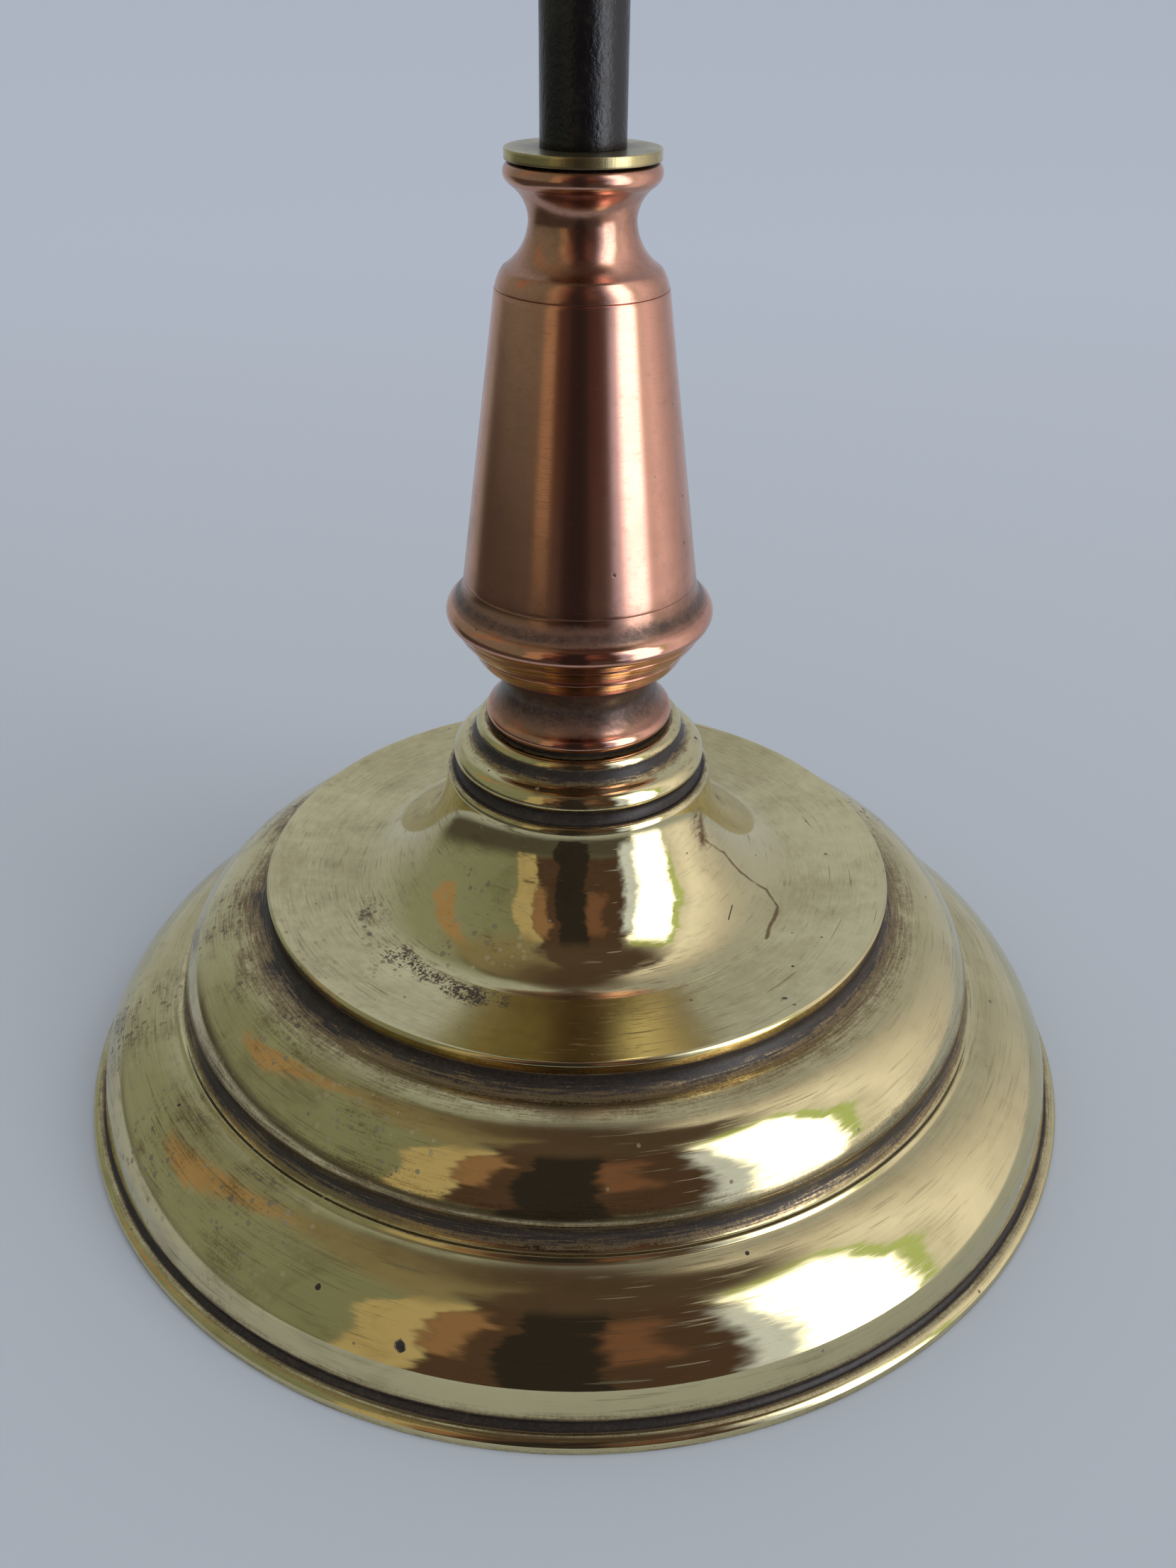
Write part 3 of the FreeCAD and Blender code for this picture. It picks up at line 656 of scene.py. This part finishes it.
hubCollar = {
    "node": "hub_collar", "body": "stand", "slot": "base_brass", "finish": "brass",
    "turns": 144, "spacing": 0.25, "hiddenSpacing": 6, "edge": 0.1,
    "outline": [
        (6.2, 61.85, 0, None),
        (14.0, 61.85, 0, None),
        (14.0, 64.25, 0, None),
        (22.42, 64.25, 0, 1.0),
        (22.42, 66.95, -0.8, (1.0, 1.05, 0.95, 0.6)),               # lower cove, darkened with painted shade and grime
        (20.42, 69.65, 0.7, (0.25, 0.05, 0.02, 0.02, 0.04)),        # main bead
        (18.32, 72.55, -0.7, (0.08, 0.45, 0.85, 1.05, 0.95)),       # upper cove, darkened with painted shade and grime
        (16.92, 73.75, 0.4, (0.35, 0.05, 0.03, 0.1)),               # top bead
        # top where the column foot sits, darkened with painted shade and grime
        (14.5, 73.75, 0, (0.5, 1.0)),
        (6.2, 73.75, 0, None),
    ],
}
columnFoot = {
    "node": "column_foot", "body": "stand", "slot": "copper", "finish": "copper",
    "turns": 128, "spacing": 0.25, "hiddenSpacing": 6, "edge": 0.07,
    "outline": [
        (8.95, 74.55, 0, None),
        (15.0, 74.55, 0, None),
        # underside over the collar, painted dark with shade and grime
        (16.02, 74.55, 0, 0.8),
        (15.9, 76.6, 0.4, (0.4, 0.06, 0.05, 0.18)),                 # rim
        (17.1, 86.0, -3.0, (0.4, 0.75, 0.88, 0.9, 0.86, 0.8, 0.82)),  # scotia, darkened with painted shade and grime
        (18.75, 88.8, 0.2, (0.25, 0.08, 0.06, 0.15)),               # beads
        (18.6, 88.85, 0, 0.6),
        (21.4, 92.3, 0.3, (0.3, 0.1, 0.08, 0.15)),
        (21.25, 92.35, 0, 0.6),
        (22.05, 93.2, 0.12, (0.3, 0.15)),
        (22.2, 93.25, 0, 0.4),
        (21.87, 96.5, 0.72, (0.15, 0.05, 0.02, 0.03, 0.1)),         # torus
        (19.62, 100.7, -0.5, (0.42, 0.85, 0.85, 0.62, 0.45)),       # hollow up to the cone, darkened with painted shade and grime
        (17.9, 100.7, 0, None),
        (17.9, 95.7, 0, None),
        (15.7, 95.7, 0, None),
        (15.7, 88.8, 0, None),
        (10.42, 81.3, 0, None),
        (10.42, 76.95, 0, None),
        (8.95, 76.95, 0, None),
    ],
}
columnCone = {
    "node": "column_cone", "body": "stand", "slot": "copper", "finish": "copper",
    "turns": 128, "spacing": 0.6, "hiddenSpacing": 12, "edge": 0.1,
    "outline": [
        (16.35, 96.1, 0, None),
        (17.85, 96.1, 0, None),
        (17.85, 100.7, 0, None),
        (19.62, 100.7, 0, 0.45),
        # foot of the cone, darker towards the moulding with painted shade and grime
        (18.82, 106.7, 0, (0.42, 0.3, 0.2, 0.14, 0.09, 0.05)),
        (13.52, 146.55, 0, (0.05, 0.02, 0.02, 0.02, 0.02, 0.02, 0.06)),
        (13.42, 147.3, 0, (0.08, 0.25)),
        (13.2, 147.3, 0, 0.3),
        (11.4, 147.3, 0, None),
        (11.4, 140.9, 0, None),
        (10.6, 140.9, 0, None),
    ],
}
columnCap = {
    "node": "column_cap", "body": "stand", "slot": "copper", "finish": "copper",
    "turns": 128, "spacing": 0.25, "hiddenSpacing": 8, "edge": 0.1,
    "outline": [
        (6.2, 141.3, 0, None),
        (11.35, 141.3, 0, None),
        (11.35, 147.3, 0, None),
        (13.28, 147.3, 0, 0.25),
        (13.3, 147.5, 0, 0.28),
        (12.2, 150.05, 0.15, (0.34, 0.2, 0.16, 0.3)),               # shoulder band
        (11.95, 150.25, 0, 0.4),
        (8.12, 157.0, -0.95, (0.42, 0.3, 0.24, 0.28, 0.38)),        # waist
        (11.0, 161.9, -0.7, (0.4, 0.36, 0.3, 0.3)),
        (11.2, 162.15, 0.02, 0.2),
        (11.2, 164.76, 0.62, (0.25, 0.18, 0.2, 0.4)),               # flange
        # top under the washer, painted dark with shade and grime
        (9.0, 164.76, 0, 0.9),
        (6.2, 164.76, 0, None),
    ],
}
stemWasher = {
    "node": "stem_washer", "body": "stem", "slot": "washer_brass", "finish": "washer",
    "turns": 128, "spacing": 0.4, "hiddenSpacing": 6, "edge": 0.12,
    "outline": [
        (4.1, 165.16, 0, None),
        (11.57, 165.16, 0, 0.6),
        (11.57, 166.76, 0, 0.12),
        (6.3, 166.76, 0, (0.45, 0.55, 0.7, 1.0)),
        (4.1, 166.76, 0, None),
    ],
}
stemTube = {
    "node": "stem_tube", "body": "stem", "slot": "black_paint", "finish": "paint",
    "turns": 96, "spacing": 1.0, "hiddenSpacing": 20, "edge": 0.1,
    "outline": [
        (5.35, 166.76, 0, None),
        (6.35, 166.76, 0, 0.0),
        (6.35, 266.36, 0, 0.0),
        (5.95, 266.76, 0, 0.0),
        (4.75, 266.76, 0, 0.0),
        (4.75, 185.16, 0, None),
        (5.35, 185.16, 0, None),
    ],
}
turnedPieces = {
    "baseShell": baseShell, "baseBell": baseBell, "hubCollar": hubCollar, "columnFoot": columnFoot,
    "columnCone": columnCone, "columnCap": columnCap, "stemWasher": stemWasher, "stemTube": stemTube,
}
for pieceName, piece in turnedPieces.items():
    turnedPiece(pieceName, piece)


# Cloth disc under the base
baizeDisc = {"node": "felt_pad", "body": "stand", "slot": "felt", "segments": 160, "soft": 0.25, "sharpFrom": 1.0}


def makeBaizeDisc(disc):
    low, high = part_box(disc["node"])
    radius, thickness = (high.x - low.x) / 2, high.z - low.z
    bm = bmesh.new()
    bmesh.ops.create_circle(bm, cap_ends=True, segments=disc["segments"], radius=radius)
    bmesh.ops.translate(bm, verts=bm.verts[:], vec=(0, 0, low.z))
    pushed = bmesh.ops.extrude_face_region(bm, geom=bm.faces[:])
    lifted = [item for item in pushed["geom"] if isinstance(item, bmesh.types.BMVert)]
    bmesh.ops.translate(bm, verts=lifted, vec=(0, 0, thickness))
    bmesh.ops.recalc_face_normals(bm, faces=bm.faces[:])
    rims = [edge for edge in bm.edges if edge.calc_face_angle() > disc["sharpFrom"]]
    bmesh.ops.bevel(bm, geom=rims, offset=disc["soft"] * mm, segments=2, affect="EDGES", profile=0.5, material=-1)
    made = meshObject("baizeDisc", bm, materials["baize"])
    standFor(made, disc)
    print("baize disc made")


makeBaizeDisc(baizeDisc)

cadFinish = {
    "foot_packing": "oiledLeather", "neck_packing": "oiledLeather", "upper_bush": "bushBrass",
    "lower_bush": "bushBrass", "ballast": "roughIron", "thrust_washer": "machinedSteel", "base_cover": "coverSheet",
    "cover_screws": "machinedSteel", "stem_plug": "machinedSteel", "tie_rod": "machinedSteel",
    "spring_washer": "machinedSteel", "tie_nut": "machinedSteel", "lock_nut": "machinedSteel",
}
for node, finish in cadFinish.items():
    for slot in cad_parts[node].material_slots:
        slot.material = materials[finish]
print("inner pieces finished:", len(cadFinish))


# Floor, light and camera. The metal mirrors a plain studio. Its walls are colours round about, in degrees from the
# camera's side, right being positive, and each card before them has its way round, its reach in height as the
# sine of the rise, its blur in degrees and its colour. Plain soft light from all round falls on everything else.
studio = {
    "walls": [
        (-180, 0.52, 0.57, 0.66), (-140, 0.42, 0.46, 0.5), (-118, 0.27, 0.3, 0.25), (-50, 0.21, 0.23, 0.17),
        (40, 0.2, 0.18, 0.16), (70, 0.65, 0.65, 0.66), (88, 1.0, 0.97, 1.0), (110, 0.62, 0.6, 0.62),
        (128, 0.46, 0.48, 0.54), (180, 0.52, 0.57, 0.66),
    ],
    "cards": {
        "tableShade": ((-122, 40), (-2, -0.1), 6, (0.08, 0.075, 0.065, 1)),
        "copperCard": ((-103, -92), (0.3, 0.88), 2, (0.36, 0.25, 0.15, 1)),
        "brownFlag": ((-31, 40), (-0.12, 2), 2, (0.078, 0.048, 0.039, 1)),
        "tanCard": ((-46, -31), (-0.14, 0.86), 1.5, (0.46, 0.38, 0.23, 1)),
        "woodCard": ((-31, -23), (0.3, 0.82), 2, (0.27, 0.16, 0.1, 1)),
        "blackFlag": ((-16, 8), (-2, 0.92), 1.2, (0.028, 0.024, 0.025, 1)),
        "warmCard": ((8, 20), (0.35, 0.8), 3, (0.18, 0.092, 0.066, 1)),
        "softEdge": ((34, 46), (-0.3, 0.76), 3, (0.7, 0.8, 1.05, 1)),
        "softBox": ((45, 71), (-0.4, 0.83), 3, (3.4, 3.5, 3.8, 1)),
        "greenCard": ((72, 77), (-0.1, 0.84), 1.5, (0.52, 0.66, 0.3, 1)),
        "leafCard": ((46, 74), (0.83, 0.87), 1.5, (0.4, 0.5, 0.14, 1)),
        "ceilingFlag": ((-118, 92), (0.88, 2), 3, (0.085, 0.06, 0.05, 1)),
        "leftCeiling": ((-110, -36), (0.8, 0.97), 5, (0.24, 0.21, 0.14, 1)),
        "overheadFlag": ((-400, 400), (0.978, 2), 1, (0.08, 0.055, 0.045, 1)),
    },
    "blurPerRise": 60,
    "clutter": [(3.0, 300.0), (9.0, 36.0)], "heightClutter": 0.25,  # rags of the cards' edges, less of it in height
    "soft": (0.92, 0.92, 0.92, 1),
    "backdrop": (0.40, 0.445, 0.52, 1),
}


def wallRamp(tree, degrees, rows):
    ramp = put(tree, "ShaderNodeValToRGB", {0: plus(tree, times(tree, degrees, 1 / 360), 0.5)})
    stops = ramp.color_ramp.elements
    stops.remove(stops[1])
    for index, (angle, *colour) in enumerate(rows):
        place = angle / 360 + 0.5
        stop = stops.new(place) if index else stops[0]
        stop.position = place
        stop.color = (*colour, 1)
    return ramp.outputs[0]


def makeStudio():
    world = bpy.data.worlds.new("studio")
    bpy.context.scene.world = world
    world.use_nodes = True
    tree = world.node_tree
    tree.nodes.clear()
    way = put(tree, "ShaderNodeTexCoord").outputs["Generated"]
    cluttered = way
    for rag in studio["clutter"]:
        cluttered = ragged(tree, cluttered, *rag)
    x, y, z = axes(tree, cluttered)
    height = blendValue(tree, studio["heightClutter"], axes(tree, way)[2], z)
    degrees = times(tree, turnOf(tree, x, y), 180 / math.pi)
    colour = wallRamp(tree, degrees, studio["walls"])
    for sweep, rise, blur, tint in studio["cards"].values():
        inSweep = within(tree, degrees, sweep, blur)
        share = times(tree, inSweep, within(tree, height, rise, blur / studio["blurPerRise"]))
        colour = blendColour(tree, share, colour, tint)
    path = put(tree, "ShaderNodeLightPath")
    colour = blendColour(tree, path.outputs["Is Diffuse Ray"], colour, studio["soft"])
    colour = blendColour(tree, path.outputs["Is Camera Ray"], colour, studio["backdrop"])
    glow = put(tree, "ShaderNodeBackground", {0: colour, 1: 1.0})
    put(tree, "ShaderNodeOutputWorld", {0: glow.outputs[0]})


floorTop = {
    "radius": 7.0, "segments": 96, "gloss": 0.9, "near": (0.365, 0.40, 0.445, 1), "far": (0.42, 0.46, 0.535, 1),
    "fade": (-0.1, 0.9), "tableEdge": (0.15, 0.19),
}


def makeFloor(top):
    material, tree, shader = newMaterial("paleFloor")
    x, y = axes(tree, objectPlace(tree))[:2]
    colour = blendColour(tree, step(tree, y, *top["fade"]), top["near"], top["far"])
    wire(tree, shader, {"Base Color": colour, "Roughness": top["gloss"], "Specular IOR Level": 0.0})
    # beyond the table's edge the metal sees the studio
    level = put(tree, "ShaderNodeCombineXYZ", {0: x, 1: calc(tree, "MINIMUM", y, 0.0)}).outputs[0]
    beyond = step(tree, vary(tree, "LENGTH", level).outputs[1], *top["tableEdge"])
    gone = times(tree, put(tree, "ShaderNodeLightPath").outputs["Is Glossy Ray"], beyond)
    clear = put(tree, "ShaderNodeBsdfTransparent")
    mixed = put(tree, "ShaderNodeMixShader", {0: gone, 1: shader.outputs[0], 2: clear.outputs[0]})
    tree.links.new(mixed.outputs[0], tree.nodes["Material Output"].inputs[0])
    bm = bmesh.new()
    bmesh.ops.create_circle(bm, cap_ends=True, segments=top["segments"], radius=top["radius"])
    floor = meshObject("floor", bm, material)


softLight = {"turn": 58.0, "rise": 32.0, "reach": 1.6, "width": 0.9, "height": 1.3, "power": 6.0}


def makeSoftLight(light):
    lamp = bpy.data.lights.new("softLight", "AREA")
    lamp.shape = "RECTANGLE"
    lamp.size, lamp.size_y = light["width"], light["height"]
    lamp.energy = light["power"]
    turn, rise = math.radians(light["turn"]), math.radians(light["rise"])
    way = Vector((math.sin(turn) * math.cos(rise), -math.cos(turn) * math.cos(rise), math.sin(rise)))
    made = bpy.data.objects.new("softLight", lamp)
    made.location = way * light["reach"]
    made.rotation_mode = "QUATERNION"
    made.rotation_quaternion = made.location.to_track_quat("Z", "Y")
    made.visible_camera = False
    made.visible_glossy = False  # the metal sees the studio's own soft box
    bpy.context.collection.objects.link(made)


# Stand of the camera, as found from the rings of the base in the photograph
viewpoint = {
    "back": 0.22073, "height": 0.19379, "pitch": 31.43, "yaw": -0.468, "roll": 0.699,
    "lens": 32.195, "sensor": 36.0, "nearest": 0.01,
}


def makeCamera(stand):
    pitch, yaw, roll = (math.radians(stand[key]) for key in ("pitch", "yaw", "roll"))
    level = Vector((math.cos(yaw), math.sin(yaw), 0))
    ahead = Vector((-math.sin(yaw), math.cos(yaw), 0))
    upright = Vector((0, 0, 1))
    looking = ahead * math.cos(pitch) - upright * math.sin(pitch)
    raised = ahead * math.sin(pitch) + upright * math.cos(pitch)
    right = level * math.cos(roll) + raised * math.sin(roll)
    up = raised * math.cos(roll) - level * math.sin(roll)
    lens = bpy.data.cameras.new("camera")
    lens.lens = stand["lens"]
    lens.sensor_width = stand["sensor"]
    lens.clip_start = stand["nearest"]
    camera = bpy.data.objects.new("camera", lens)
    turned = Matrix((right, up, -looking)).transposed().to_4x4()
    turned.translation = Vector((0, -stand["back"], stand["height"]))
    camera.matrix_world = turned
    bpy.context.collection.objects.link(camera)
    bpy.context.scene.camera = camera


makeStudio()
makeFloor(floorTop)
makeSoftLight(softLight)
makeCamera(viewpoint)
bpy.context.scene.view_settings.view_transform = "Standard"
print("studio, floor, light and camera ready")
